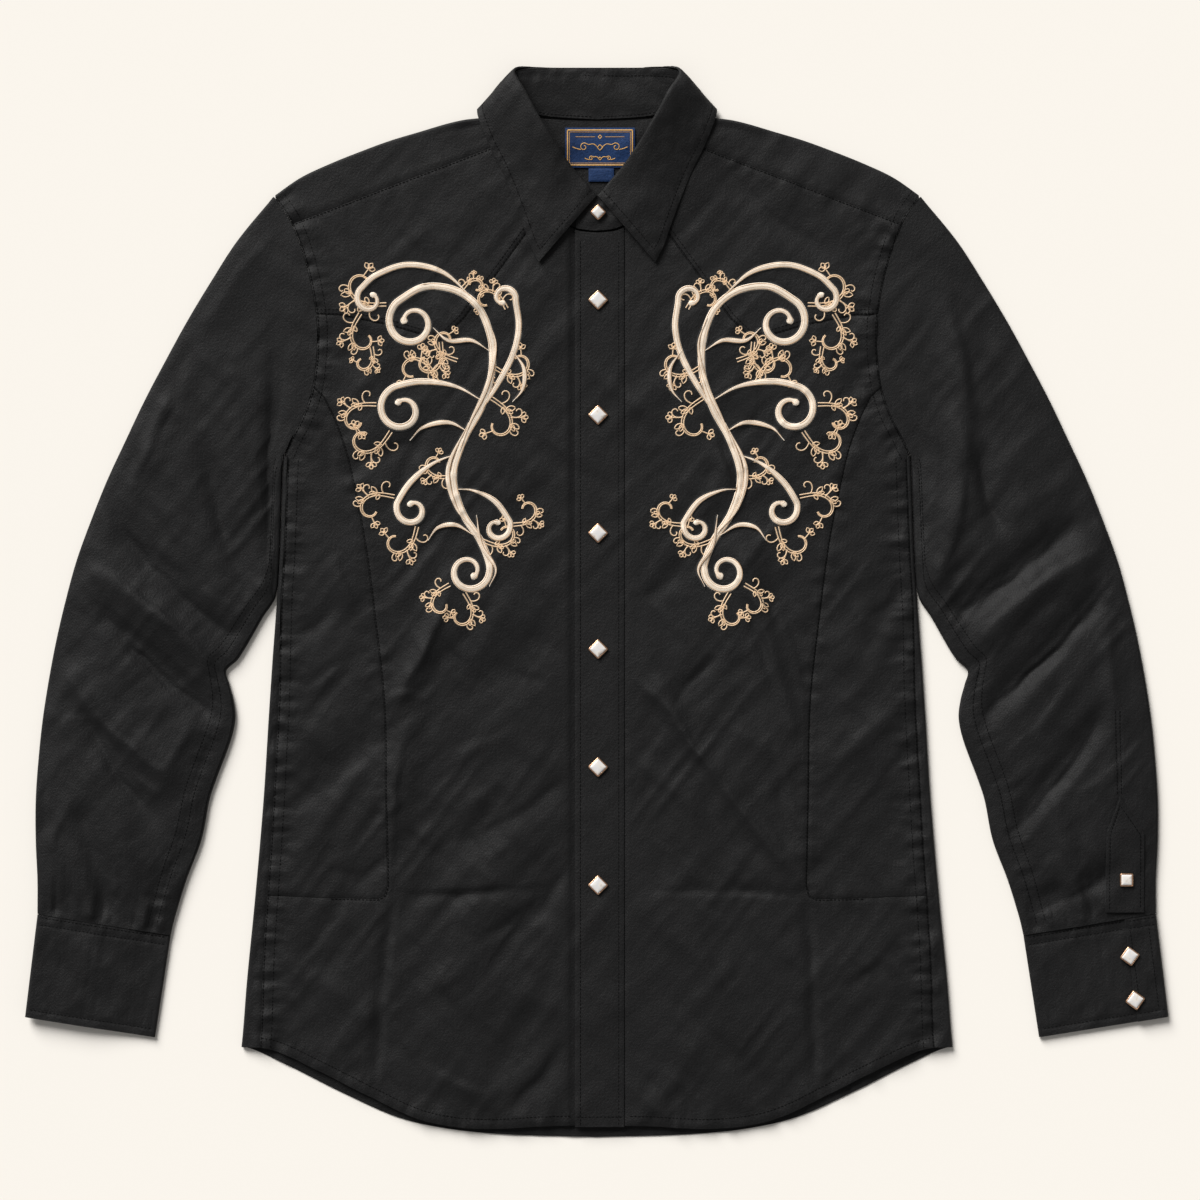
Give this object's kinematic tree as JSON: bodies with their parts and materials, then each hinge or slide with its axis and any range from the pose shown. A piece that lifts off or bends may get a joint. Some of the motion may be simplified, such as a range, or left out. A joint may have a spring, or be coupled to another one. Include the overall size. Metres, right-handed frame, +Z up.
{
  "type": "western snap shirt",
  "caption": "Long-sleeved western shirt laid flat and fastened, with pointed yokes, a folded collar, snapped placket and cuffs, shaped side panels and a shirt-tail hem.",
  "frame": {"origin": "middle of the shirt's width and length, on the surface that it lies on", "axes": "+X towards the wearer's left sleeve, +Y up the shirt to the collar, +Z up from the surface, with the front of the shirt facing up"},
  "size_m": [0.8926, 0.8349, 0.0178],
  "materials": {
    "cloth": "black cotton shirting, matt with a faint sheen",
    "collar_cloth": "black cotton shirting, fused and a little smoother",
    "tab_cloth": "woven navy tape",
    "snap_metal": "polished rose gold",
    "pearl": "white pearl inlay"
  },
  "bodies": {
    "root": {"back": "cloth", "back_yoke": "cloth", "front_right": "cloth", "front_left": "cloth", "side_front_right": "cloth", "side_front_left": "cloth", "front_yoke_right": "cloth", "front_yoke_left": "cloth", "placket": "cloth", "sleeve_right": "cloth", "sleeve_left": "cloth", "sleeve_placket_right": "cloth", "sleeve_placket_left": "cloth", "cuff_right": "cloth", "cuff_left": "cloth", "collar_stand": "collar_cloth", "collar_leaf": "collar_cloth", "label": "tab_cloth", "size_tab": "tab_cloth", "front_snap_1_bezel": "snap_metal", "front_snap_1_pearl": "pearl", "front_snap_2_bezel": "snap_metal", "front_snap_2_pearl": "pearl", "front_snap_3_bezel": "snap_metal", "front_snap_3_pearl": "pearl", "front_snap_4_bezel": "snap_metal", "front_snap_4_pearl": "pearl", "front_snap_5_bezel": "snap_metal", "front_snap_5_pearl": "pearl", "front_snap_6_bezel": "snap_metal", "front_snap_6_pearl": "pearl", "front_snap_7_bezel": "snap_metal", "front_snap_7_pearl": "pearl", "cuff_right_snap_1_bezel": "snap_metal", "cuff_right_snap_1_pearl": "pearl", "cuff_right_snap_2_bezel": "snap_metal", "cuff_right_snap_2_pearl": "pearl", "cuff_left_snap_1_bezel": "snap_metal", "cuff_left_snap_1_pearl": "pearl", "cuff_left_snap_2_bezel": "snap_metal", "cuff_left_snap_2_pearl": "pearl", "sleeve_right_snap_bezel": "snap_metal", "sleeve_right_snap_pearl": "pearl", "sleeve_left_snap_bezel": "snap_metal", "sleeve_left_snap_pearl": "pearl"}
  },
  "joints": []
}
